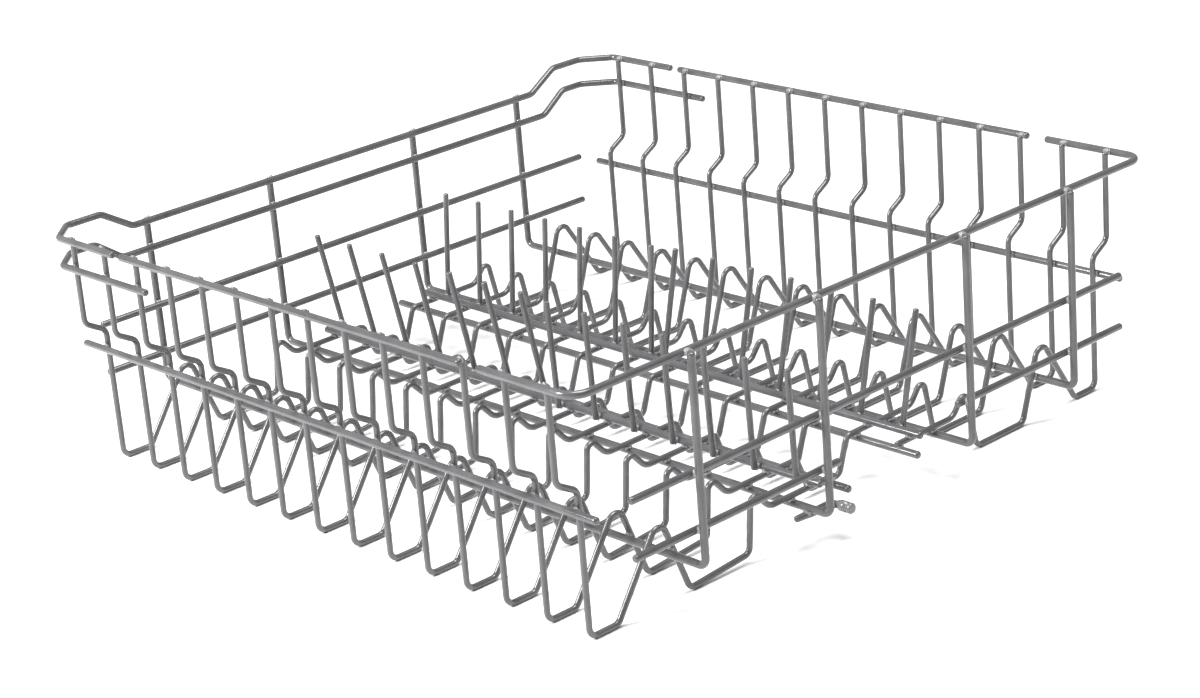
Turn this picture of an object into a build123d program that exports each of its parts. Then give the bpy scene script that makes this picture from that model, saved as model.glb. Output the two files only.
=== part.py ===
"""Lower basket of a dishwasher, made of coated steel wire.

Fourteen bent cross wires run from the front wall to the back wall. Four U frames carry them sideways,
two rim wires and a right rim close the top, rails tie the walls, and two rows of tines stand on the floor.
Millimetres, +Z up, origin under the middle of the basket at the height of its lowest wire.

The shape is described from the basket's corner: x from the first cross wire to the right, y from the front
legs to the back, and z from the middle of the rim wire, so everything inside the basket has a negative z.
"""
import os
from math import cos, hypot, radians, tan

from build123d import *

# Wire diameters, coat included
CROSS_D = 4.0
FRAME_D = 5.0
RIM_D = 4.8
TINE_D = 4.0
FLATS = 8  # sides that stand for the round section of the bent and repeated wires
END_CHAMFER = 0.6  # dulled edge of a cut wire end
WELD_GAP = 0.1  # between the coats of two wires where they are welded

# Pattern of the cross wires
WIRE_COUNT = 14
PITCH = 35.0
LEG_RISE = 0.8  # of the leg ends above the rim's middle

# Depths below the rim, to the middle of a cross wire
STEP_DEPTH = 59.3  # where a leg steps into the basket
STEP_FALL = 8.5  # fall across the step
STEP_IN = 15.5  # how far the step leads inwards
LOW_DEPTH = 158.8  # loops that the basket stands on
TROUGH_DEPTH = 155.3  # troughs that stay clear of the ground
FLOOR_DEPTH = 131.8  # runs that carry the tine wires
HUMP_DEPTH = 105.0  # corner of the two high humps, before it is rounded
CREST_DEPTH = 115.8  # corner of the two small crests, before it is rounded

# Runs of a cross wire from corner to corner, front to back, after the front step
FRONT_LOOP_RUN = 22.5
HUMP_1_RISE_RUN = 38.0
HUMP_1_FALL_RUN = 20.8
VALLEY_1_RUN = 50.8
CREST_1_RISE_RUN = 4.2
CREST_1_FALL_RUN = 15.0
FLOOR_1_RUN = 62.2
TROUGH_FALL_RUN = 9.5
TROUGH_RUN = 28.3
TROUGH_RISE_RUN = 9.1
FLOOR_2_RUN = 61.1
CREST_2_RISE_RUN = 13.0
CREST_2_FALL_RUN = 9.3
VALLEY_2_RUN = 47.3
HUMP_2_RISE_RUN = 19.3
HUMP_2_FALL_RUN = 35.4
BACK_LOOP_RUN = 22.2

# Radii of the cross wire's bends
HUMP_BEND = 6.6
CREST_BEND = 4.2
CORNER_BEND = 5.0

# Last cross wire, which is cut out over the middle of the floor
CUT_BEFORE_TROUGH = 4.0
CUT_AFTER_TROUGH = 6.1

# U frames
LEFT_POST_BEYOND = 33.1  # from the first cross wire to the left posts
RIGHT_POST_BEYOND = 31.1  # from the last cross wire to the right posts
FRAME_BEND = 10.0
POST_RISE = 0.9  # of a post's end above the rim wire that it carries
FRAME_1_DEPTH = 130.4
FRAME_2_ALONG = 19.7  # along the first floor run
FRAME_3_ALONG = 42.7  # along the second floor run
FRAME_4_DEPTH = 131.5

# Rims
LEFT_CUT = 19.0  # legs of a left rim's cut corner
CUT_BEND = 8.0
RIGHT_CORNER = 12.0
RIM_DIP = 14.6  # of a left rim's middle below its corners
DIP_BEND = 10.0
SECOND_RIM_DEPTH = 19.2
LEFT_RIM_REACH = 53.0  # of the left rim's ends along the front and back walls
SECOND_RIM_REACH = 85.0
RIGHT_RIM_REACH = 52.0  # back from the last cross wire
RIM_SLOPE = (42.0, 66.0)  # start and end of the left rim's slope, from the legs at either end
SECOND_RIM_SLOPE = (34.0, 54.5)
TOP_WIRE_LEFT_GAP = 7.0  # from the left rim's end to a top wire
TOP_WIRE_RIGHT_GAP = 14.0  # from a top wire to the right rim's end

# Rails
WALL_RAIL_DEPTH = 79.8
WALL_RAIL_OVERHANG = 20.0
LEFT_UPPER_DEPTH = 75.3
LEFT_LOWER_DEPTH = 109.5
RIGHT_UPPER_DEPTH = 73.0
RIGHT_LOWER_DEPTH = 108.2
SIDE_RAIL_FRONT = 30.0  # from the front legs to a side rail's end
SIDE_RAIL_BACK = 21.0  # from its other end to the back legs
CUT_RAIL_PAST = 15.5  # of the lower right rail's front part behind the second frame
CUT_RAIL_BEFORE = 8.3  # of its back part in front of the third frame

# Floor wires, along the floor run that they are welded to
FLOOR_WIRE_1_ALONG = 10.2
FLOOR_WIRE_2_ALONG = 18.6
FLOOR_WIRE_3_ALONG = 54.8
FLOOR_WIRE_4_ALONG = 35.0
FLOOR_WIRE_1_LEFT = 27.0  # overhang beyond the first cross wire
FLOOR_WIRE_3_LEFT = 20.0
UNDER_WIRE_RIGHT = 15.6  # overhang of the wires under the runs beyond the last cross wire
OVER_WIRE_LEFT = 8.0
OVER_WIRE_RIGHT = 11.0

# Tines
TINES_PER_SECTION = 7
ROW_A_SHIFT = {"left": 7.5, "right": -5.3}  # from a cross wire to a tine of either section
ROW_B_SHIFT = {"left": 13.2, "right": -9.0}
ROW_A_SIDE = {"left": 1, "right": -1}  # behind the floor wire (1) or before it (-1)
ROW_B_SIDE = {"left": 1, "right": 1}
TINE_TOP_DEPTH = {"left": 50.8, "right": 53.8}
TINE_FOOT_BELOW = 1.6  # of a tine's foot below the floor wire's middle
ROW_A_LEAN_DEG = {"left": -11.0, "right": -2.0}  # towards the back
ROW_B_LEAN_DEG = {"left": 5.5, "right": 13.4}

# Stop wire under the second frame, with its cap
STOP_D = 4.0
STOP_BEYOND = 11.5  # from the last cross wire
STOP_FRONT = 10.0  # of its free end in front of the second frame
STOP_BACK = 22.0  # of its bend behind the second frame
STOP_BEND = 4.0
CAP_D = 7.0
CAP_FLATS = 16
CAP_LENGTH = 12.2
CAP_BORE_DEPTH = 8.0
CAP_CLEARANCE = 0.1
CAP_NECK = 1.5  # of bare wire between the bend and the cap
CAP_CHAMFER = 1.0

# Derived places
CROSS_R = CROSS_D / 2
FRAME_R = FRAME_D / 2
FRAME_CORNER_R = FRAME_R / cos(radians(180 / FLATS))
RIM_R = RIM_D / 2
TINE_R = TINE_D / 2
STOP_R = STOP_D / 2
LAST_X = (WIRE_COUNT - 1) * PITCH
LEFT_POST_X = -LEFT_POST_BEYOND
RIGHT_POST_X = LAST_X + RIGHT_POST_BEYOND
LOOP_END = STEP_IN + FRONT_LOOP_RUN
HUMP_1 = LOOP_END + HUMP_1_RISE_RUN
HUMP_1_FOOT = HUMP_1 + HUMP_1_FALL_RUN
RISER_1_FOOT = HUMP_1_FOOT + VALLEY_1_RUN
CREST_1 = RISER_1_FOOT + CREST_1_RISE_RUN
FLOOR_1_START = CREST_1 + CREST_1_FALL_RUN
FLOOR_1_END = FLOOR_1_START + FLOOR_1_RUN
TROUGH_START = FLOOR_1_END + TROUGH_FALL_RUN
TROUGH_END = TROUGH_START + TROUGH_RUN
FLOOR_2_START = TROUGH_END + TROUGH_RISE_RUN
FLOOR_2_END = FLOOR_2_START + FLOOR_2_RUN
CREST_2 = FLOOR_2_END + CREST_2_RISE_RUN
CREST_2_FOOT = CREST_2 + CREST_2_FALL_RUN
HUMP_2_START = CREST_2_FOOT + VALLEY_2_RUN
HUMP_2 = HUMP_2_START + HUMP_2_RISE_RUN
HUMP_2_FOOT = HUMP_2 + HUMP_2_FALL_RUN
BACK_STEP = HUMP_2_FOOT + BACK_LOOP_RUN
LEG_SPAN = BACK_STEP + STEP_IN
FRAME_2_Y = FLOOR_1_START + FRAME_2_ALONG
FRAME_3_Y = FLOOR_2_START + FRAME_3_ALONG
FLOOR_WIRE_1_Y = FLOOR_2_START + FLOOR_WIRE_1_ALONG
FLOOR_WIRE_2_Y = FLOOR_2_START + FLOOR_WIRE_2_ALONG
FLOOR_WIRE_3_Y = FLOOR_1_START + FLOOR_WIRE_3_ALONG
FLOOR_WIRE_4_Y = FLOOR_1_START + FLOOR_WIRE_4_ALONG
RIM_TO_LEG = RIM_R + CROSS_R + WELD_GAP
RIM_TO_POST = RIM_R + FRAME_R + WELD_GAP
FRONT_RIM_Y = -RIM_TO_LEG
BACK_RIM_Y = LEG_SPAN + RIM_TO_LEG
LEFT_RIM_X = LEFT_POST_X + RIM_TO_POST
RIGHT_RIM_X = RIGHT_POST_X - RIM_TO_POST
FLOOR_TO_FRAME = CROSS_R + FRAME_R + WELD_GAP
UNDER_FLOOR = FLOOR_DEPTH + FLOOR_TO_FRAME
OVER_FLOOR = FLOOR_DEPTH - FLOOR_TO_FRAME
X_MIDDLE = (LEFT_POST_X + RIGHT_POST_X) / 2
Y_MIDDLE = LEG_SPAN / 2
RIM_HEIGHT = LOW_DEPTH + CROSS_R

# Directions
UP = (0, 0, 1)
ACROSS = (1, 0, 0)

os.makedirs("parts", exist_ok=True)


def place(x, y, depth):
    """Point of the part from x after the first cross wire, y after the front legs and depth below the rim."""
    return Vector(x - X_MIDDLE, y - Y_MIDDLE, RIM_HEIGHT - depth)


def save(part, name):
    """Label one finished piece and write it."""
    part.label = name
    export_step(part, f"parts/{name}.step")


def mitred(corners):
    """Points of a folded wire: a bend of radius r is two mitres, on the tangent at the middle of its arc."""
    points = []
    for index, (point, bend) in enumerate(corners):
        if not bend:
            points.append(point)
            continue
        sides = [corners[index - 1][0] - point, corners[index + 1][0] - point]
        turn = 180 - sides[0].get_angle(sides[1])
        setback = bend * (tan(radians(turn / 2)) - tan(radians(turn / 4)))
        points += [point + side.normalized() * setback for side in sides]
    return points


def section(diameter):
    """Wire section with a flat towards each axis of its sketch."""
    RegularPolygon(diameter / 2, FLATS, major_radius=False, rotation=180 / FLATS)


def folded_wire(corners, diameter, across=ACROSS):
    """Wire in one plane through corners (point, bend radius), with its first run square to across."""
    points = mitred(corners)
    with BuildPart() as wire:
        with BuildLine():
            Polyline(*points)
        with BuildSketch(Plane(points[0], x_dir=across, z_dir=points[1] - points[0])):
            section(diameter)
        sweep(transition=Transition.RIGHT)
    return wire.part


def curved_wire(points, bends, diameter):
    """Wire that starts level, through some corners with an arc at each inner one."""
    with BuildPart() as wire:
        with BuildLine():
            FilletPolyline(*points, radius=bends)
        with BuildSketch(Plane(points[0], x_dir=UP, z_dir=points[1] - points[0])):
            section(diameter)
        sweep()
    return wire.part


def straight_wire(start, end, diameter, across):
    """Straight wire with dulled ends."""
    with BuildPart() as wire:
        with BuildSketch(Plane(start, x_dir=across, z_dir=end - start)):
            section(diameter)
        extrude(amount=(end - start).length)
        ends = wire.faces().sort_by(Axis(start, end - start))
        chamfer(ends[0].edges() + ends[-1].edges(), END_CHAMFER)
    return wire.part


def beside(foot, top, depth, side):
    """Station of a U frame that lies against a hump leg, behind it (side 1) or before it (-1)."""
    rise = foot[1] - top[1]
    run = top[0] - foot[0]
    length = hypot(rise, run)
    away = side * (CROSS_R + FRAME_CORNER_R + WELD_GAP)
    touch_depth = depth - away * run / length
    return foot[0] + run * (foot[1] - touch_depth) / rise + away * rise / length


# Cross wires
FRONT_LEG = [
    (0, -LEG_RISE, 0),
    (0, STEP_DEPTH, 0),
    (STEP_IN, STEP_DEPTH + STEP_FALL, 0),
    (STEP_IN, LOW_DEPTH, CORNER_BEND),
    (LOOP_END, LOW_DEPTH, 0),
    (HUMP_1, HUMP_DEPTH, HUMP_BEND),
    (HUMP_1_FOOT, LOW_DEPTH, 0),
    (RISER_1_FOOT, TROUGH_DEPTH, 0),
    (CREST_1, CREST_DEPTH, CREST_BEND),
    (FLOOR_1_START, FLOOR_DEPTH, 0),
]
MIDDLE = [
    (FLOOR_1_END, FLOOR_DEPTH, 0),
    (TROUGH_START, TROUGH_DEPTH, 0),
    (TROUGH_END, TROUGH_DEPTH, 0),
    (FLOOR_2_START, FLOOR_DEPTH, 0),
]
BACK_LEG = [
    (FLOOR_2_END, FLOOR_DEPTH, 0),
    (CREST_2, CREST_DEPTH, CREST_BEND),
    (CREST_2_FOOT, LOW_DEPTH, 0),
    (HUMP_2_START, LOW_DEPTH, 0),
    (HUMP_2, HUMP_DEPTH, HUMP_BEND),
    (HUMP_2_FOOT, LOW_DEPTH, 0),
    (BACK_STEP, LOW_DEPTH, CORNER_BEND),
    (BACK_STEP, STEP_DEPTH + STEP_FALL, 0),
    (LEG_SPAN, STEP_DEPTH, 0),
    (LEG_SPAN, -LEG_RISE, 0),
]


def cross_wire(corners):
    """Cross wire in the plane x = 0, from its corners (station, depth, bend radius)."""
    return folded_wire([(place(0, y, depth), bend) for y, depth, bend in corners], CROSS_D)


whole_wire = cross_wire(FRONT_LEG + MIDDLE + BACK_LEG)
for number in range(1, WIRE_COUNT):
    with BuildPart() as numbered_wire:
        with Locations(((number - 1) * PITCH, 0, 0)):
            add(whole_wire)
    save(numbered_wire.part, f"cross_wire_{number:02d}")

cut_wires = {
    "front": cross_wire(FRONT_LEG + [(FLOOR_1_END - CUT_BEFORE_TROUGH, FLOOR_DEPTH, 0)]),
    "back": cross_wire([(FLOOR_2_START + CUT_AFTER_TROUGH, FLOOR_DEPTH, 0)] + BACK_LEG),
}
for side, cut_wire in cut_wires.items():
    with BuildPart() as placed_wire:
        with Locations((LAST_X, 0, 0)):
            add(cut_wire)
    save(placed_wire.part, f"cross_wire_{WIRE_COUNT}_{side}")

# U frames: two posts and a run under the floor or through a hump
FRAME_1_Y = beside((HUMP_1_FOOT, LOW_DEPTH), (HUMP_1, HUMP_DEPTH), FRAME_1_DEPTH, -1)
FRAME_4_Y = beside((HUMP_2_START, LOW_DEPTH), (HUMP_2, HUMP_DEPTH), FRAME_4_DEPTH, 1)
FRAMES = [
    (FRAME_1_Y, FRAME_1_DEPTH),
    (FRAME_2_Y, UNDER_FLOOR),
    (FRAME_3_Y, UNDER_FLOOR),
    (FRAME_4_Y, FRAME_4_DEPTH),
]
for number, (y, depth) in enumerate(FRAMES, 1):
    frame_corners = [
        (place(LEFT_POST_X, y, RIM_DIP - POST_RISE), 0),
        (place(LEFT_POST_X, y, depth), FRAME_BEND),
        (place(RIGHT_POST_X, y, depth), FRAME_BEND),
        (place(RIGHT_POST_X, y, -POST_RISE), 0),
    ]
    save(folded_wire(frame_corners, FRAME_D), f"u_frame_{number}")


def left_rim(depth, reach, slope):
    """Rim wire round the left side: its corners are cut and its middle dips below them."""
    start, end = slope
    corners = [
        place(reach, FRONT_RIM_Y, depth),
        place(LEFT_RIM_X + LEFT_CUT, FRONT_RIM_Y, depth),
        place(LEFT_RIM_X, FRONT_RIM_Y + LEFT_CUT, depth),
        place(LEFT_RIM_X, start, depth),
        place(LEFT_RIM_X, end, depth + RIM_DIP),
        place(LEFT_RIM_X, LEG_SPAN - end, depth + RIM_DIP),
        place(LEFT_RIM_X, LEG_SPAN - start, depth),
        place(LEFT_RIM_X, BACK_RIM_Y - LEFT_CUT, depth),
        place(LEFT_RIM_X + LEFT_CUT, BACK_RIM_Y, depth),
        place(reach, BACK_RIM_Y, depth),
    ]
    bends = 2 * [CUT_BEND] + 4 * [DIP_BEND] + 2 * [CUT_BEND]
    return curved_wire(corners, bends, RIM_D)


# Rims and top wires
save(left_rim(0, LEFT_RIM_REACH, RIM_SLOPE), "left_rim")
save(left_rim(SECOND_RIM_DEPTH, SECOND_RIM_REACH, SECOND_RIM_SLOPE), "left_second_rim")

RIGHT_RIM_END = LAST_X - RIGHT_RIM_REACH
right_rim_corners = [
    place(RIGHT_RIM_END, FRONT_RIM_Y, 0),
    place(RIGHT_RIM_X, FRONT_RIM_Y, 0),
    place(RIGHT_RIM_X, BACK_RIM_Y, 0),
    place(RIGHT_RIM_END, BACK_RIM_Y, 0),
]
save(curved_wire(right_rim_corners, RIGHT_CORNER, RIM_D), "right_rim")

for wall, y in (("front", FRONT_RIM_Y), ("back", BACK_RIM_Y)):
    top_start = place(LEFT_RIM_REACH + TOP_WIRE_LEFT_GAP, y, 0)
    top_end = place(RIGHT_RIM_END - TOP_WIRE_RIGHT_GAP, y, 0)
    save(straight_wire(top_start, top_end, RIM_D, UP), f"{wall}_top_wire")

# Rails of the front and back walls, outside the lower legs
for wall, y in (("front", STEP_IN - RIM_TO_LEG), ("back", BACK_STEP + RIM_TO_LEG)):
    rail_start = place(-WALL_RAIL_OVERHANG, y, WALL_RAIL_DEPTH)
    rail_end = place(LAST_X + WALL_RAIL_OVERHANG, y, WALL_RAIL_DEPTH)
    save(straight_wire(rail_start, rail_end, RIM_D, UP), f"{wall}_rail")

# Rails of the two sides, inside the posts; the lower right one is cut between the middle frames
RAIL_END = LEG_SPAN - SIDE_RAIL_BACK
FRONT_PART_END = FRAME_2_Y + CUT_RAIL_PAST
BACK_PART_START = FRAME_3_Y - CUT_RAIL_BEFORE
SIDE_RAILS = [
    ("left_rail_upper", LEFT_RIM_X, LEFT_UPPER_DEPTH, SIDE_RAIL_FRONT, RAIL_END),
    ("left_rail_lower", LEFT_RIM_X, LEFT_LOWER_DEPTH, SIDE_RAIL_FRONT, RAIL_END),
    ("right_rail_upper", RIGHT_RIM_X, RIGHT_UPPER_DEPTH, SIDE_RAIL_FRONT, RAIL_END),
    ("right_rail_lower_front", RIGHT_RIM_X, RIGHT_LOWER_DEPTH, SIDE_RAIL_FRONT, FRONT_PART_END),
    ("right_rail_lower_back", RIGHT_RIM_X, RIGHT_LOWER_DEPTH, BACK_PART_START, RAIL_END),
]
for name, x, depth, start, end in SIDE_RAILS:
    save(straight_wire(place(x, start, depth), place(x, end, depth), RIM_D, UP), name)

# Floor wires: two long ones under the runs, two short ones on them that carry the tines
FLOOR_WIRES = [
    (FLOOR_WIRE_1_Y, UNDER_FLOOR, FLOOR_WIRE_1_LEFT, UNDER_WIRE_RIGHT),
    (FLOOR_WIRE_2_Y, OVER_FLOOR, OVER_WIRE_LEFT, OVER_WIRE_RIGHT),
    (FLOOR_WIRE_3_Y, UNDER_FLOOR, FLOOR_WIRE_3_LEFT, UNDER_WIRE_RIGHT),
    (FLOOR_WIRE_4_Y, OVER_FLOOR, OVER_WIRE_LEFT, OVER_WIRE_RIGHT),
]
for number, (y, depth, left, right) in enumerate(FLOOR_WIRES, 1):
    floor_start = place(-left, y, depth)
    floor_end = place(LAST_X + right, y, depth)
    save(straight_wire(floor_start, floor_end, FRAME_D, UP), f"floor_wire_{number}")


def tine(wire_y, lean, side, top_depth):
    """Tine in the plane x = 0, welded behind a floor wire (side 1) or before it (-1)."""
    slope = tan(radians(lean))
    weld_y = wire_y + side * (TINE_R + FRAME_CORNER_R + WELD_GAP) / cos(radians(lean))
    foot = place(0, weld_y - slope * TINE_FOOT_BELOW, OVER_FLOOR + TINE_FOOT_BELOW)
    top = place(0, weld_y + slope * (OVER_FLOOR - top_depth), top_depth)
    return straight_wire(foot, top, TINE_D, ACROSS)


# Tine rows, each on one of the wires that lie on the floor runs
TINE_ROWS = (
    ("a", FLOOR_WIRE_4_Y, ROW_A_LEAN_DEG, ROW_A_SHIFT, ROW_A_SIDE),
    ("b", FLOOR_WIRE_2_Y, ROW_B_LEAN_DEG, ROW_B_SHIFT, ROW_B_SIDE),
)
for row, wire_y, leans, shifts, sides in TINE_ROWS:
    for half, first in (("left", 0), ("right", TINES_PER_SECTION)):
        rod = tine(wire_y, leans[half], sides[half], TINE_TOP_DEPTH[half])
        with BuildPart() as tines:
            with Locations(*[((first + i) * PITCH + shifts[half], 0, 0) for i in range(TINES_PER_SECTION)]):
                add(rod)
        save(tines.part, f"tine_row_{row}_{half}")

# Stop wire under the second frame, and the cap on its end
STOP_DEPTH = UNDER_FLOOR + FRAME_R + STOP_R + WELD_GAP
STOP_X = LAST_X + STOP_BEYOND
STOP_BEND_Y = FRAME_2_Y + STOP_BACK
CAP_X = STOP_X + STOP_BEND + CAP_NECK
stop_corners = [
    (place(STOP_X, FRAME_2_Y - STOP_FRONT, STOP_DEPTH), 0),
    (place(STOP_X, STOP_BEND_Y, STOP_DEPTH), STOP_BEND),
    (place(CAP_X + CAP_BORE_DEPTH - CAP_CLEARANCE, STOP_BEND_Y, STOP_DEPTH), 0),
]
save(folded_wire(stop_corners, STOP_D, UP), "stop_wire")

CAP_MOUTH = Plane(place(CAP_X, STOP_BEND_Y, STOP_DEPTH), x_dir=UP, z_dir=ACROSS)
with BuildPart() as cap:
    with BuildSketch(CAP_MOUTH):
        RegularPolygon(CAP_D / 2, CAP_FLATS)
    extrude(amount=CAP_LENGTH)
    chamfer(cap.faces().sort_by(Axis.X)[-1].edges(), CAP_CHAMFER)
    with BuildSketch(CAP_MOUTH):
        section(STOP_D + 2 * CAP_CLEARANCE)
    extrude(amount=CAP_BORE_DEPTH, mode=Mode.SUBTRACT)
save(cap.part, "stop_cap")
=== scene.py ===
"""Studio scene of a dishwasher basket made of grey coated wire.

Each wire is a circle carried along straight runs and round bends, with ends that the coat has rounded.
Where two wires are welded, the coat is drawn up between them as a small waisted neck. The bent wires are
described as the basket is, in millimetres: x from the first cross wire, y from the front legs and depth
below the rim. Everything else is read from the frame. The finished meshes are in metres.
"""
from math import radians

import bpy
import numpy as np
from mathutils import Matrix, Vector


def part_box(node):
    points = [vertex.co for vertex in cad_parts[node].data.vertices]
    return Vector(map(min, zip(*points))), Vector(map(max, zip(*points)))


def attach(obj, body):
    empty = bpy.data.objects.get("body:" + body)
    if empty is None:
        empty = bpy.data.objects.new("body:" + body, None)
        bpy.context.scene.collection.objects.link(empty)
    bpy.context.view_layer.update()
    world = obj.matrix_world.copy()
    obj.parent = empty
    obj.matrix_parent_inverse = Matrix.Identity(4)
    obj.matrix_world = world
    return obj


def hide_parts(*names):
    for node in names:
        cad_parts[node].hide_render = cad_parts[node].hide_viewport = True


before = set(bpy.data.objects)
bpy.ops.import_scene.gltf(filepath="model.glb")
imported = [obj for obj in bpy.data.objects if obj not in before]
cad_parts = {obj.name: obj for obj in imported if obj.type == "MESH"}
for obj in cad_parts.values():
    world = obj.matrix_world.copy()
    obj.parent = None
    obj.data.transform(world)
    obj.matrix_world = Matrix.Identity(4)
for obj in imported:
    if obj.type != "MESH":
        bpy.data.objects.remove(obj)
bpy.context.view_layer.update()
MM = 0.001
BODY = "root"

# Fineness of the meshes
SIDES = 24  # round a wire
BEND_STEP = radians(7)  # of a bend's arc from ring to ring
TIP_RINGS = 6
NECK_SIDES = 24
NECK_RINGS = 7
CAP_SIDES = 48
NOSE_RINGS = 9

# Ends of the wires
TIP_DEPTH = 0.75  # of a rounded end, in wire radii
TIP_POWER = 2.6  # of the superellipse that rounds it
TIP_FADE = 2.0  # wire radii over which the gloss of an end fades

# Welds
WELD_GAP = 0.1  # between the coats of two welded wires
WELD_SLACK = 0.25  # more than that still counts as welded
WELD_SQUARENESS = 0.5  # least squared sine of the angle between two welded runs
NECK_HEIGHT = 1.25  # between the two wires at the edge of a neck
NECK_SPREAD = 0.8  # of its skirts beyond that edge
NECK_REACH = 0.97  # share of a wire's radius that a skirt stays within
NECK_WAIST = 0.8  # share of the way to the edge at which its point in the crevice lies
NECK_SINK = 0.04  # of its skirts into the wires
TINY = 1e-6  # least sine or cosine that a reach is divided by

# Cap: its collar, groove and rounded end
CAP_MOUTH = 1.6  # length of the collar and of the mouth inside it
CAP_SHOULDER = 0.8  # length of the slope behind the collar
CAP_COLLAR = 0.74  # share of the cap's radius
CAP_GROOVE_AT = 0.68  # share of the cap's length
CAP_GROOVE_WIDTH = 0.8  # of its floor, which is twice the width of a flank
CAP_GROOVE_FLOOR = 0.84  # share of the cap's radius
CAP_NOSE = 0.5  # share of the cap's radius that rounds its end

# Cross wires: depths below the rim
STEP_DEPTH = 59.3  # where a leg steps into the basket
STEP_FALL = 8.5  # fall across the step
LOW_DEPTH = 158.8  # loops that the basket stands on
TROUGH_DEPTH = 155.3  # troughs that stay clear of the ground
FLOOR_DEPTH = 131.8  # runs that carry the floor wires
HUMP_DEPTH = 105.0  # corner of a high hump, before it is rounded
CREST_DEPTH = 115.8  # corner of a small crest, before it is rounded

# Cross wires: stations of their corners behind the front legs
STEP_IN = 15.5
LOOP_END = 38.0
HUMP_1 = 76.0
HUMP_1_FOOT = 96.8
RISER_1_FOOT = 147.6
CREST_1 = 151.8
FLOOR_1_START = 166.8
FLOOR_1_END = 229.0
TROUGH_START = 238.5
TROUGH_END = 266.8
FLOOR_2_START = 275.9
FLOOR_2_END = 337.0
CREST_2 = 350.0
CREST_2_FOOT = 359.3
HUMP_2_START = 406.6
HUMP_2 = 425.9
HUMP_2_FOOT = 461.3
LEG_SPAN = 499.0
BACK_STEP = LEG_SPAN - STEP_IN
CUT_START = 225.0  # end of the last cross wire's front part
CUT_END = 282.0  # start of its back part

# Cross wires: radii of their bends
STEP_BEND = 7.0
LOW_BEND = 6.0
TROUGH_BEND = 5.0
FLOOR_BEND = 10.0  # between the floor and a crest
HUMP_BEND = 6.6
CREST_BEND = 4.2

# Cross wires: corners as station, depth and bend
FRONT_LEG = [
    (0, STEP_DEPTH, STEP_BEND),
    (STEP_IN, STEP_DEPTH + STEP_FALL, STEP_BEND),
    (STEP_IN, LOW_DEPTH, LOW_BEND),
    (LOOP_END, LOW_DEPTH, LOW_BEND),
    (HUMP_1, HUMP_DEPTH, HUMP_BEND),
    (HUMP_1_FOOT, LOW_DEPTH, LOW_BEND),
    (RISER_1_FOOT, TROUGH_DEPTH, TROUGH_BEND),
    (CREST_1, CREST_DEPTH, CREST_BEND),
    (FLOOR_1_START, FLOOR_DEPTH, FLOOR_BEND),
]
MIDDLE = [
    (FLOOR_1_END, FLOOR_DEPTH, TROUGH_BEND),
    (TROUGH_START, TROUGH_DEPTH, TROUGH_BEND),
    (TROUGH_END, TROUGH_DEPTH, TROUGH_BEND),
    (FLOOR_2_START, FLOOR_DEPTH, TROUGH_BEND),
]
BACK_LEG = [
    (FLOOR_2_END, FLOOR_DEPTH, FLOOR_BEND),
    (CREST_2, CREST_DEPTH, CREST_BEND),
    (CREST_2_FOOT, LOW_DEPTH, LOW_BEND),
    (HUMP_2_START, LOW_DEPTH, LOW_BEND),
    (HUMP_2, HUMP_DEPTH, HUMP_BEND),
    (HUMP_2_FOOT, LOW_DEPTH, LOW_BEND),
    (BACK_STEP, LOW_DEPTH, LOW_BEND),
    (BACK_STEP, STEP_DEPTH + STEP_FALL, STEP_BEND),
    (LEG_SPAN, STEP_DEPTH, STEP_BEND),
]

# Bends and corners of the other wires
FRAME_BEND = 5.5
LEFT_CUT = 19.0  # legs of a left rim's cut corner
CUT_BEND = 8.0
DIP_BEND = 10.0
RIGHT_CORNER = 12.0
RIM_SLOPE = (42.0, 66.0)  # start and end of the left rim's slope, from the legs at either end
SECOND_RIM_SLOPE = (34.0, 54.5)
STOP_BEND = 4.0

# Finish of the coats: darkest and lightest grey, and the scales of peel and mottle. The welds' lighter
# greys are a painted glint on each weld.
COAT_GREYS = ((0.066, 0.066, 0.0685), (0.114, 0.114, 0.1185))
# painted glint: the weld necks are a lighter grey than the wire, standing in for the highlight on each
# weld's meniscus
WELD_GLINT_GREYS = ((0.2, 0.2, 0.205), (0.34, 0.34, 0.345))
CAP_GREYS = ((0.13, 0.13, 0.13), (0.19, 0.19, 0.19))
COAT_SCALES = (900.0, 60.0)
CAP_SCALES = (1400.0, 90.0)
GREY_STOPS = (0.35, 0.95)  # tones at which the darkest and the lightest grey are reached
PEEL_DETAIL = 2.0
MOTTLE_DETAIL = 3.0
PEEL_SHARE = 0.35  # of the peel in the tone
# partly painted highlight: the coat is lighter on the outside of bends, for its stretch there and for the
# glints that bends show
STRETCH_SHEEN_SHARE = 0.6  # of the stretch round a bend in the tone
ROUGHNESS_RANGE = (0.13, 0.21)  # that the mottle runs through
BEAD_ROUGHNESS = -0.08  # what an end or a weld adds to it
BUMP_STRENGTH = 0.2
BUMP_DEPTH = 0.05  # millimetres
COAT_IOR = 1.62

# Floor and light, in metres and watts
FLOOR_HALF = 20.0
FLOOR_COLOUR = (0.92, 0.92, 0.92, 1)
FLOOR_ROUGHNESS = 0.9
LAMP_AIM = (0, 0, 0.1)
OVERHEAD_AT = (0.35, 0.25, 2.2)
OVERHEAD_SIZE = (1.3, 1.3)
OVERHEAD_POWER = 60
KEY_AT = (-0.9, -1.95, 1.55)
KEY_SIZE = (0.75, 1.1)
KEY_POWER = 100
SURROUND_COLOUR = (1, 1, 1, 1)
SURROUND_STRENGTH = 0.3

# Camera, as the photograph shows the basket: metres, degrees, millimetres of lens and shares of the width
CAMERA_AT = (1.346, -1.2263, 0.7327)
CAMERA_TURN = (69.49, 4.543, 46.226)
CAMERA_LENS = 87.71
CAMERA_SENSOR = 36.0
CAMERA_SHIFT = (0.0104, 0.0007)

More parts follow.
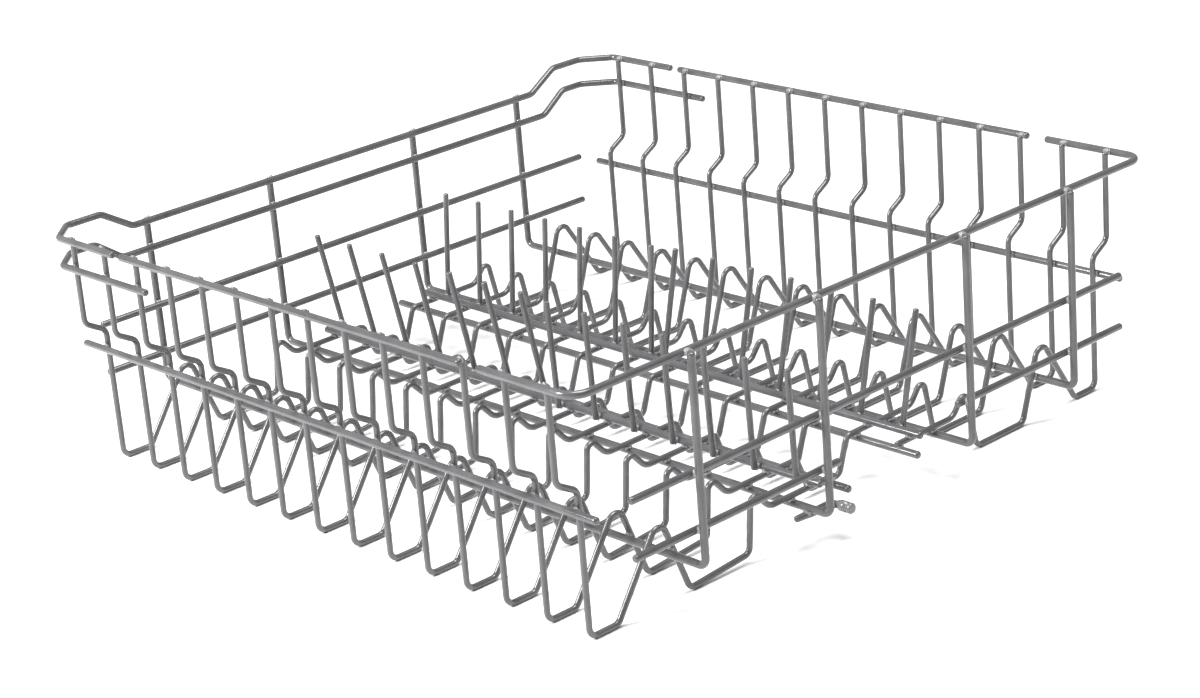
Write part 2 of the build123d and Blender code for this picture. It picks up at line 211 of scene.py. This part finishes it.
# Directions
ACROSS = np.array([1.0, 0.0, 0.0])
ALONG = np.array([0.0, 1.0, 0.0])
UP = np.array([0.0, 0.0, 1.0])


def corners_of(node):
    """Lowest and highest corner of one node of the frame, as arrays."""
    return [np.array(corner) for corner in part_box(node)]


def vertices(node):
    """All vertices of one node of the frame, as an array."""
    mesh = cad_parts[node].data
    points = np.empty(len(mesh.vertices) * 3)
    mesh.vertices.foreach_get("co", points)
    return points.reshape(-1, 3)


def nodes_named(start):
    """Names of the frame's nodes that start with some words, in order."""
    return sorted(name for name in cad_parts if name.startswith(start))


def unit(vectors):
    """Vectors scaled to length one."""
    return vectors / np.linalg.norm(vectors, axis=-1, keepdims=True)


def dots(first, second):
    """Dot products of two lists of vectors, pair by pair."""
    return np.einsum("ik,ik->i", first, second)


# Places and radii that the frame gives
FIRST_LOW, FIRST_HIGH = corners_of("cross_wire_01")
TOP_LOW, TOP_HIGH = corners_of("front_top_wire")
CROSS_R = (FIRST_HIGH[0] - FIRST_LOW[0]) / 2
RIM_R = (TOP_HIGH[2] - TOP_LOW[2]) / 2
CORNER = np.array([FIRST_LOW[0] + CROSS_R, FIRST_LOW[1] + CROSS_R, (TOP_LOW[2] + TOP_HIGH[2]) / 2])
LEG_TOP = (CORNER[2] - FIRST_HIGH[2]) / MM  # depth of a leg's end, which is above the rim's middle


class Wire:
    """One round wire: its name, radius, path and the straight runs where it can be welded."""

    def __init__(self, name, radius, corners, bends, across):
        self.name = name
        self.radius = radius
        self.across = across
        self.corners = np.array(corners)
        self.lay_path(bends)

    def lay_path(self, bends):
        """Lay the path along straight runs with a round bend at each inner corner.

        A bend of radius r that turns by a starts r tan(a/2) before its corner. With d the run before it and
        n towards its inside, its points are start + r (sin t · d + (1 - cos t) · n) for t from 0 to a. The
        bow of a ring is n / r on a bend and nothing on a straight run.
        """
        runs = unit(np.diff(self.corners, axis=0))
        points, tangents, bows = [self.corners[:1]], [runs[:1]], [np.zeros((1, 3))]
        for corner, before, after, bend in zip(self.corners[1:-1], runs[:-1], runs[1:], bends):
            turn = np.arccos(np.clip(before @ after, -1, 1))
            inside = unit(after - before * (before @ after))
            t = np.linspace(0, turn, 2 + int(turn / BEND_STEP))[:, None]
            start = corner - before * bend * np.tan(turn / 2)
            points.append(start + bend * (np.sin(t) * before + (1 - np.cos(t)) * inside))
            tangents.append(np.cos(t) * before + np.sin(t) * inside)
            bows.append(np.repeat(inside[None] / bend, len(t), axis=0))
        points.append(self.corners[-1:])
        tangents.append(runs[-1:])
        bows.append(np.zeros((1, 3)))
        self.runs = [(a[-1], b[0]) for a, b in zip(points[:-1], points[1:])]
        self.points, self.tangents, self.bows = (np.vstack(part) for part in (points, tangents, bows))

    def rings(self):
        """Centres, directions, radii and bows of all rings, with a superellipse of rings at each end.

        With u from 0 at the end to a quarter turn, the radius is r sin(u)^(2/k) and the centre lies
        d r (1 - cos(u)^(2/k)) inside the end. The ring of no width at u = 0 is left out.
        """
        u = np.linspace(0, np.pi / 2, TIP_RINGS + 1)[1:]
        power = 2 / TIP_POWER
        width = np.sin(u) ** power
        inset = TIP_DEPTH * self.radius * (1 - np.abs(np.cos(u)) ** power)
        first = self.points[0] + inset[:, None] * self.tangents[0]
        last = self.points[-1] - inset[::-1, None] * self.tangents[-1]
        tips = (TIP_RINGS, 1)
        straight = np.zeros((TIP_RINGS, 3))
        centres = np.vstack([first, self.points[1:-1], last])
        directions = np.vstack(
            [np.tile(self.tangents[0], tips), self.tangents[1:-1], np.tile(self.tangents[-1], tips)])
        radii = np.concatenate([width, np.ones(len(self.points) - 2), width[::-1]]) * self.radius
        bows = np.vstack([straight, self.bows[1:-1], straight])
        return centres, directions, radii, bows

    def shell(self):
        """Round wire: p(s, a) = c(s) + r(s) (cos a · n + sin a · b), n square to the path and b = t x n.

        The coat's stretch is the share by which a bend lengthens it there, and its tip mark fades from one
        at either end as exp(-distance / fade).
        """
        centres, directions, radii, bows = self.rings()
        sides = unit(self.across - directions * (directions @ self.across)[:, None])
        others = np.cross(directions, sides)
        a = np.linspace(0, 2 * np.pi, SIDES, endpoint=False)[None, :, None]
        outward = np.cos(a) * sides[:, None] + np.sin(a) * others[:, None]
        grid = centres[:, None] + radii[:, None, None] * outward
        stretch = -np.einsum("rsk,rk->rs", outward, bows) * self.radius
        length = np.concatenate([[0], np.cumsum(np.linalg.norm(np.diff(centres, axis=0), axis=1))])
        from_end = np.minimum(length, length[-1] - length)
        tip = np.repeat(np.exp(-from_end / (TIP_FADE * self.radius))[:, None], SIDES, axis=1)
        return grid_shell(grid, stretch, tip, self.points[[0, -1]])


def grid_shell(grid, stretch, tip, poles=None):
    """Closed shell of a grid of rings: quads from ring to ring, and a fan at the first and last ring.

    A fan runs to the pole that is given, or else to the middle of its ring.
    """
    rings, sides, _ = grid.shape
    if poles is None:
        poles = grid[[0, -1]].mean(axis=1)
    ring = np.arange(rings - 1)[:, None] * sides
    step = np.arange(sides)[None]
    ahead = (step + 1) % sides
    quads = np.stack([ring + step, ring + ahead, ring + sides + ahead, ring + sides + step], -1)
    first_pole = rings * sides
    last_ring = first_pole - sides
    start = np.stack([ahead[0], step[0], np.full(sides, first_pole)], -1)
    end = np.stack([last_ring + step[0], last_ring + ahead[0], np.full(sides, first_pole + 1)], -1)
    return {
        "points": np.vstack([grid.reshape(-1, 3), poles]),
        "quads": quads.reshape(-1, 4),
        "fans": np.vstack([start, end]),
        "stretch": np.append(stretch.ravel(), [0, 0]),
        "tip": np.append(tip.ravel(), [tip[0, 0], tip[-1, 0]]),
    }


def add_piece(name, shells, material, nodes=()):
    """One object from some closed shells: it rides on the basket and stands for the nodes that it names."""
    offsets = np.cumsum([0] + [len(shell["points"]) for shell in shells])
    points = np.vstack([shell["points"] for shell in shells])
    faces = []
    for shell, offset in zip(shells, offsets):
        faces += (shell["quads"] + offset).tolist() + (shell["fans"] + offset).tolist()
    mesh = bpy.data.meshes.new(name)
    mesh.from_pydata(points, [], faces)
    for attribute in ("stretch", "tip"):
        values = np.concatenate([shell[attribute] for shell in shells]).astype(np.float32)
        mesh.attributes.new(attribute, "FLOAT", "POINT").data.foreach_set("value", values)
    mesh.polygons.foreach_set("use_smooth", np.ones(len(mesh.polygons), bool))
    mesh.materials.append(material)
    mesh.validate()
    piece = bpy.data.objects.new(name, mesh)
    bpy.context.scene.collection.objects.link(piece)
    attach(piece, BODY)
    if nodes:
        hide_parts(*nodes)


def cross_wire(name, corners, x):
    """Cross wire in the upright plane at x, from its corners (station, depth, bend)."""
    points = [CORNER + MM * np.array([0, y, -depth]) for y, depth, _ in corners]
    bends = [MM * bend for _, _, bend in corners[1:-1]]
    return Wire(name, CROSS_R, np.array(points) + (x - CORNER[0]) * ACROSS, bends, ACROSS)


def make_cross_wires():
    """Thirteen whole cross wires, and the last one in two parts that end over the floor."""
    front = [(0, LEG_TOP, 0)] + FRONT_LEG
    back = BACK_LEG + [(LEG_SPAN, LEG_TOP, 0)]
    parts = {
        "front": front + [(CUT_START, FLOOR_DEPTH, 0)],
        "back": [(CUT_END, FLOOR_DEPTH, 0)] + back,
    }
    wires = []
    for node in nodes_named("cross_wire"):
        low, high = corners_of(node)
        corners = parts.get(node.split("_")[-1], front + MIDDLE + back)
        wires.append(cross_wire(node, corners, (low[0] + high[0]) / 2))
    return wires


def make_u_frames():
    """Frames with a left post, a run and a right post, which is the higher one, read from their nodes."""
    wires = []
    for node in nodes_named("u_frame"):
        points = vertices(node)
        low, high = points.min(axis=0), points.max(axis=0)
        y = (low[1] + high[1]) / 2
        radius = (high[1] - low[1]) / 2
        left, right, bottom = low[0] + radius, high[0] - radius, low[2] + radius
        left_top = points[points[:, 0] < 0, 2].max()
        corners = [(left, y, left_top), (left, y, bottom), (right, y, bottom), (right, y, high[2])]
        wires.append(Wire(node, radius, corners, 2 * [MM * FRAME_BEND], ALONG))
    return wires


def left_rim(node, slope):
    """Rim round the left side: its corners are cut and its middle dips, and its back mirrors its front."""
    low, high = corners_of(node)
    x, top, dip = low[0] + RIM_R, high[2] - RIM_R, low[2] + RIM_R
    front, back = low[1] + RIM_R, high[1] - RIM_R
    cut = MM * LEFT_CUT
    slope_start, slope_end = (CORNER[1] + MM * station for station in slope)
    half = [
        (high[0], front, top),
        (x + cut, front, top),
        (x, front + cut, top),
        (x, slope_start, top),
        (x, slope_end, dip),
    ]
    corners = half + [(cx, front + back - cy, cz) for cx, cy, cz in reversed(half)]
    bends = [MM * bend for bend in 2 * [CUT_BEND] + 4 * [DIP_BEND] + 2 * [CUT_BEND]]
    return Wire(node, RIM_R, corners, bends, UP)


def right_rim(node):
    """Level rim round the right side, with two round corners."""
    low, high = corners_of(node)
    radius = (high[2] - low[2]) / 2
    x, z = high[0] - radius, (low[2] + high[2]) / 2
    front, back = low[1] + radius, high[1] - radius
    corners = [(low[0], front, z), (x, front, z), (x, back, z), (low[0], back, z)]
    return Wire(node, radius, corners, 2 * [MM * RIGHT_CORNER], UP)


def make_rims():
    """Two rims round the left side and one round the right side."""
    return [
        left_rim("left_rim", RIM_SLOPE),
        left_rim("left_second_rim", SECOND_RIM_SLOPE),
        right_rim("right_rim"),
    ]


def straight_wire(name, points, axis, across):
    """Straight wire between the two ends that its vertices gather at, parted half-way along an axis."""
    height = points @ axis
    middle = (height.min() + height.max()) / 2
    ends = [points[height < middle].mean(axis=0), points[height > middle].mean(axis=0)]
    direction = unit(ends[1] - ends[0])
    along = points @ direction
    centre = (ends[0] + ends[1]) / 2
    half = (along.max() - along.min()) / 2
    shift = (along.max() + along.min()) / 2 - centre @ direction
    corners = [centre + direction * (shift - half), centre + direction * (shift + half)]
    reach = (points - centre) @ across
    return Wire(name, (reach.max() - reach.min()) / 2, corners, [], across)


def make_straight_wires():
    """Top wires, rails and floor wires, read from their nodes."""
    wires = []
    for node in sorted(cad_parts):
        if node.endswith("top_wire") or "_rail" in node or node.startswith("floor_wire"):
            points = vertices(node)
            size = points.max(axis=0) - points.min(axis=0)
            wires.append(straight_wire(node, points, np.eye(3)[size.argmax()], UP))
    return wires


def make_tines():
    """Leaning tines: the vertices of a section, in order of x, are parted where there is a gap."""
    wires = []
    for node in nodes_named("tine_row"):
        points = vertices(node)
        points = points[points[:, 0].argsort(kind="stable")]
        gaps = np.flatnonzero(np.diff(points[:, 0]) > 2 * CROSS_R)
        wires += [straight_wire(node, own, UP, ACROSS) for own in np.split(points, gaps + 1)]
    return wires


def make_stop_wire():
    """Bent wire under the second frame, read from its node."""
    low, high = corners_of("stop_wire")
    radius = (high[2] - low[2]) / 2
    x, y, z = low[0] + radius, high[1] - radius, (low[2] + high[2]) / 2
    corners = [(x, low[1], z), (x, y, z), (high[0], y, z)]
    return [Wire("stop_wire", radius, corners, [MM * STOP_BEND], UP)]


def make_necks(wires):
    """Necks of all welds, under the name of the later of the two wires.

    A weld is where straight runs of two wires cross and their coats nearly touch. On the lines p + s u and
    q + t v the nearest points have s = (f e - d) / (1 - f²) and t = (e - f d) / (1 - f²), with f = u · v,
    d = u · (p - q) and e = v · (p - q). This is worked out for all pairs of runs at once.
    """
    starts = np.array([run[0] for wire in wires for run in wire.runs])
    ends = np.array([run[1] for wire in wires for run in wire.runs])
    owner = np.array([index for index, wire in enumerate(wires) for _ in wire.runs])
    radius = np.array([wire.radius for wire in wires])[owner]
    length = np.linalg.norm(ends - starts, axis=1)
    along = (ends - starts) / length[:, None]
    first, second = np.triu_indices(len(starts), 1)
    square = 1 - dots(along[first], along[second]) ** 2
    crossing = (owner[first] != owner[second]) & (square > WELD_SQUARENESS)
    first, second, square = first[crossing], second[crossing], square[crossing]
    facing = dots(along[first], along[second])
    between = starts[first] - starts[second]
    d = dots(along[first], between)
    e = dots(along[second], between)
    s = (facing * e - d) / square
    t = (e - facing * d) / square
    on_both = (s > 0) & (s < length[first]) & (t > 0) & (t < length[second])
    near_first = starts[first] + s[:, None] * along[first]
    near_second = starts[second] + t[:, None] * along[second]
    apart = np.linalg.norm(near_second - near_first, axis=1) - radius[first] - radius[second]
    necks = {}
    for i in np.flatnonzero(on_both & (np.abs(apart) < (WELD_GAP + WELD_SLACK) * MM)):
        a, b = first[i], second[i]
        normal = unit(near_second[i] - near_first[i])
        middle = near_first[i] + normal * (radius[a] + apart[i] / 2)
        shell = neck(middle, normal, along[a], along[b], radius[a], radius[b], apart[i])
        necks.setdefault(wires[owner[b]].name, []).append(shell)
    return necks


def neck(middle, normal, along_a, along_b, radius_a, radius_b, apart):
    """Coat drawn up between two crossing wires.

    Round the contact the edge of the neck lies where the wires are a set height apart, which is an ellipse
    in the plane that touches both. In each direction the neck is a quadratic curve from one wire's flank
    through a point in the crevice to the other wire's flank, so it is waisted like a meniscus.
    """
    a = np.linspace(0, 2 * np.pi, NECK_SIDES, endpoint=False)
    side_a = np.cross(normal, along_a)
    rise = NECK_HEIGHT * MM - apart
    half_a = np.sqrt(radius_b**2 - (radius_b - rise) ** 2)
    half_b = np.sqrt(radius_a**2 - (radius_a - rise) ** 2)
    edge = 1 / np.sqrt((np.cos(a) / half_a) ** 2 + (np.sin(a) / half_b) ** 2)
    widest = edge + NECK_SPREAD * MM
    reach_a = np.minimum(widest, NECK_REACH * radius_a / np.maximum(np.abs(np.sin(a)), TINY))
    reach_b = np.minimum(widest, NECK_REACH * radius_b / np.maximum(np.abs(np.cos(a)), TINY))
    sink = NECK_SINK * MM
    floor = -apart / 2 - radius_a + np.sqrt(radius_a**2 - (reach_a * np.sin(a)) ** 2) - sink
    roof = apart / 2 + radius_b - np.sqrt(radius_b**2 - (reach_b * np.cos(a)) ** 2) + sink
    t = np.linspace(0, 1, NECK_RINGS)[:, None]
    out = (1 - t) ** 2 * reach_a + 2 * t * (1 - t) * NECK_WAIST * edge + t**2 * reach_b
    up = (1 - t) ** 2 * floor + t**2 * roof
    outward = np.cos(a)[:, None] * along_a + np.sin(a)[:, None] * side_a
    grid = middle + out[..., None] * outward + up[..., None] * normal
    return grid_shell(grid, np.zeros(out.shape), np.ones(out.shape))


def make_cap():
    """Cap on the stop wire: a profile (x, r) turned about the wire as x · X + r (cos a · Y + sin a · Z).

    The profile runs from inside the mouth over the collar, its shoulder, a groove and the quarter circle
    that rounds the end.
    """
    low, high = corners_of("stop_cap")
    stop_low, stop_high = corners_of("stop_wire")
    radius = (high[2] - low[2]) / 2
    length = high[0] - low[0]
    bore = (stop_high[2] - stop_low[2]) / 2 + WELD_GAP * MM
    collar = CAP_COLLAR * radius
    mouth = CAP_MOUTH * MM
    shoulder = mouth + CAP_SHOULDER * MM
    groove = CAP_GROOVE_AT * length
    width = CAP_GROOVE_WIDTH * MM
    floor = CAP_GROOVE_FLOOR * radius
    nose = CAP_NOSE * radius
    turn = np.linspace(0, np.pi / 2, NOSE_RINGS)
    profile = np.vstack([
        [(mouth, bore), (0, bore), (0, collar), (mouth, collar), (shoulder, radius)],
        [(groove - width, radius), (groove - width / 2, floor)],
        [(groove + width / 2, floor), (groove + width, radius)],
        np.stack([length - nose + nose * np.sin(turn), radius - nose + nose * np.cos(turn)], -1),
    ])
    a = np.linspace(0, 2 * np.pi, CAP_SIDES, endpoint=False)
    centre = np.array([low[0], (low[1] + high[1]) / 2, (low[2] + high[2]) / 2])
    circle = np.cos(a)[:, None] * ALONG + np.sin(a)[:, None] * UP
    grid = centre + profile[:, None, :1] * ACROSS + profile[:, None, 1:] * circle[None]
    flat = np.zeros(grid.shape[:2])
    return grid_shell(grid, flat, flat)


def add_node(tree, kind, location, values=None, **settings):
    """New node at a place of its tree, with some settings and the values of some inputs."""
    node = tree.nodes.new(kind)
    node.location = location
    for name, setting in settings.items():
        setattr(node, name, setting)
    for socket, value in (values or {}).items():
        node.inputs[socket].default_value = value
    return node


def make_grain_group():
    """Shared effect: the fine peel and the slow mottle of a dipped coat.

    The tone is peel and mottle, lightened on the outside of a bend: partly stretched coat, partly a painted
    highlight. The roughness follows the mottle and is lower where the coat has run into a bead, at an end
    or a weld. The height is the peel.
    """
    group = bpy.data.node_groups.new("coat_grain", "ShaderNodeTree")
    peel_scale, mottle_scale = COAT_SCALES
    inputs = {"Peel Scale": peel_scale, "Mottle Scale": mottle_scale, "Stretch": 0.0, "Bead": 0.0}
    for name, value in inputs.items():
        socket = group.interface.new_socket(name, in_out="INPUT", socket_type="NodeSocketFloat")
        socket.default_value = value
    for name in ("Tone", "Roughness", "Height"):
        group.interface.new_socket(name, in_out="OUTPUT", socket_type="NodeSocketFloat")
    given = add_node(group, "NodeGroupInput", (-900, 0))
    result = add_node(group, "NodeGroupOutput", (500, 0))
    position = add_node(group, "ShaderNodeTexCoord", (-900, -300))
    peel = add_node(group, "ShaderNodeTexNoise", (-600, 200), {"Detail": PEEL_DETAIL})
    mottle = add_node(group, "ShaderNodeTexNoise", (-600, -150), {"Detail": MOTTLE_DETAIL})
    tone = add_node(group, "ShaderNodeMath", (-200, 200), {1: PEEL_SHARE}, operation="MULTIPLY_ADD")
    # lightens the tone on the outside of bends: stretched coat and a painted highlight
    stretch_sheen = add_node(group, "ShaderNodeMath", (100, 200), {1: STRETCH_SHEEN_SHARE},
                         operation="MULTIPLY_ADD", use_clamp=True)
    smoothest, roughest = ROUGHNESS_RANGE
    gloss = add_node(group, "ShaderNodeMapRange", (-200, -100), {"To Min": smoothest, "To Max": roughest})
    beaded = add_node(group, "ShaderNodeMath", (100, -100), {1: BEAD_ROUGHNESS}, operation="MULTIPLY_ADD")
    link = group.links.new
    for noise, scale in ((peel, "Peel Scale"), (mottle, "Mottle Scale")):
        link(position.outputs["Object"], noise.inputs["Vector"])
        link(given.outputs[scale], noise.inputs["Scale"])
    link(peel.outputs["Fac"], tone.inputs[0])
    link(mottle.outputs["Fac"], tone.inputs[2])
    link(given.outputs["Stretch"], stretch_sheen.inputs[0])
    link(tone.outputs[0], stretch_sheen.inputs[2])
    link(mottle.outputs["Fac"], gloss.inputs["Value"])
    link(given.outputs["Bead"], beaded.inputs[0])
    link(gloss.outputs[0], beaded.inputs[2])
    link(stretch_sheen.outputs[0], result.inputs["Tone"])
    link(beaded.outputs[0], result.inputs["Roughness"])
    link(peel.outputs["Fac"], result.inputs["Height"])
    return group


def coat_material(name, group, greys, scales):
    """Coated surface: two greys mixed by the grain's tone, with its roughness and a fine bump."""
    material = bpy.data.materials.new(name)
    material.use_nodes = True
    tree = material.node_tree
    shader = tree.nodes["Principled BSDF"]
    shader.inputs["IOR"].default_value = COAT_IOR
    grain = add_node(tree, "ShaderNodeGroup", (-600, 0), node_tree=group)
    for socket, scale in zip(("Peel Scale", "Mottle Scale"), scales):
        grain.inputs[socket].default_value = scale
    for attribute, socket, y in (("stretch", "Stretch", 0), ("tip", "Bead", -200)):
        reader = add_node(tree, "ShaderNodeAttribute", (-850, y), attribute_name=attribute)
        tree.links.new(reader.outputs["Fac"], grain.inputs[socket])
    ramp = add_node(tree, "ShaderNodeValToRGB", (-350, 150))
    for element, stop, grey in zip(ramp.color_ramp.elements, GREY_STOPS, greys):
        element.position = stop
        element.color = (*grey, 1)
    bump = add_node(tree, "ShaderNodeBump", (-300, -250),
                    {"Strength": BUMP_STRENGTH, "Distance": BUMP_DEPTH * MM})
    tree.links.new(grain.outputs["Tone"], ramp.inputs["Fac"])
    tree.links.new(ramp.outputs["Color"], shader.inputs["Base Color"])
    tree.links.new(grain.outputs["Roughness"], shader.inputs["Roughness"])
    tree.links.new(grain.outputs["Height"], bump.inputs["Height"])
    tree.links.new(bump.outputs["Normal"], shader.inputs["Normal"])
    return material


def floor_material():
    """Plain pale floor."""
    material = bpy.data.materials.new("pale_floor")
    material.use_nodes = True
    shader = material.node_tree.nodes["Principled BSDF"]
    shader.inputs["Base Color"].default_value = FLOOR_COLOUR
    shader.inputs["Roughness"].default_value = FLOOR_ROUGHNESS
    return material


def make_floor():
    """Wide square floor under the basket."""
    half = FLOOR_HALF
    corners = [(-half, -half, 0), (half, -half, 0), (half, half, 0), (-half, half, 0)]
    mesh = bpy.data.meshes.new("floor")
    mesh.from_pydata(corners, [], [(0, 1, 2, 3)])
    mesh.materials.append(floor_material())
    floor = bpy.data.objects.new("floor", mesh)
    bpy.context.scene.collection.objects.link(floor)


def add_softbox(name, at, size, power):
    """Rectangular lamp at a place, turned towards the basket."""
    lamp = bpy.data.lights.new(name, "AREA")
    lamp.shape = "RECTANGLE"
    lamp.size, lamp.size_y = size
    lamp.energy = power
    holder = bpy.data.objects.new(name, lamp)
    bpy.context.scene.collection.objects.link(holder)
    holder.location = at
    holder.rotation_euler = (Vector(LAMP_AIM) - Vector(at)).to_track_quat("-Z", "Y").to_euler()


def make_light():
    """Soft studio light: an overhead softbox, a key from the front left and an even pale surround."""
    add_softbox("overhead", OVERHEAD_AT, OVERHEAD_SIZE, OVERHEAD_POWER)
    add_softbox("key", KEY_AT, KEY_SIZE, KEY_POWER)
    world = bpy.data.worlds.new("surround")
    bpy.context.scene.world = world
    world.use_nodes = True
    background = world.node_tree.nodes["Background"]
    background.inputs["Color"].default_value = SURROUND_COLOUR
    background.inputs["Strength"].default_value = SURROUND_STRENGTH


def make_camera():
    """Camera at the photograph's place, turn and lens."""
    lens = bpy.data.cameras.new("camera")
    lens.sensor_width = CAMERA_SENSOR
    lens.lens = CAMERA_LENS
    lens.shift_x, lens.shift_y = CAMERA_SHIFT
    camera = bpy.data.objects.new("camera", lens)
    camera.location = CAMERA_AT
    camera.rotation_euler = [radians(angle) for angle in CAMERA_TURN]
    bpy.context.scene.collection.objects.link(camera)
    bpy.context.scene.camera = camera


grain = make_grain_group()
coat = coat_material("grey_coat", grain, COAT_GREYS, COAT_SCALES)
# the weld necks' lighter grey is a painted glint
weld_coat = coat_material("weld_coat", grain, WELD_GLINT_GREYS, COAT_SCALES)
cap_plastic = coat_material("cap_plastic", grain, CAP_GREYS, CAP_SCALES)

wires = make_cross_wires() + make_u_frames() + make_tines()
wires += make_stop_wire() + make_rims() + make_straight_wires()
for node in sorted({wire.name for wire in wires}):
    shells = [wire.shell() for wire in wires if wire.name == node]
    add_piece(f"{node}_coat", shells, coat, [node])
# necks of the welds, in the lighter grey of the painted glint
for node, necks in sorted(make_necks(wires).items()):
    add_piece(f"{node}_welds", necks, weld_coat)
add_piece("stop_cap_skin", [make_cap()], cap_plastic, ["stop_cap"])

make_floor()
make_light()
make_camera()
bpy.context.scene.view_settings.view_transform = "Standard"
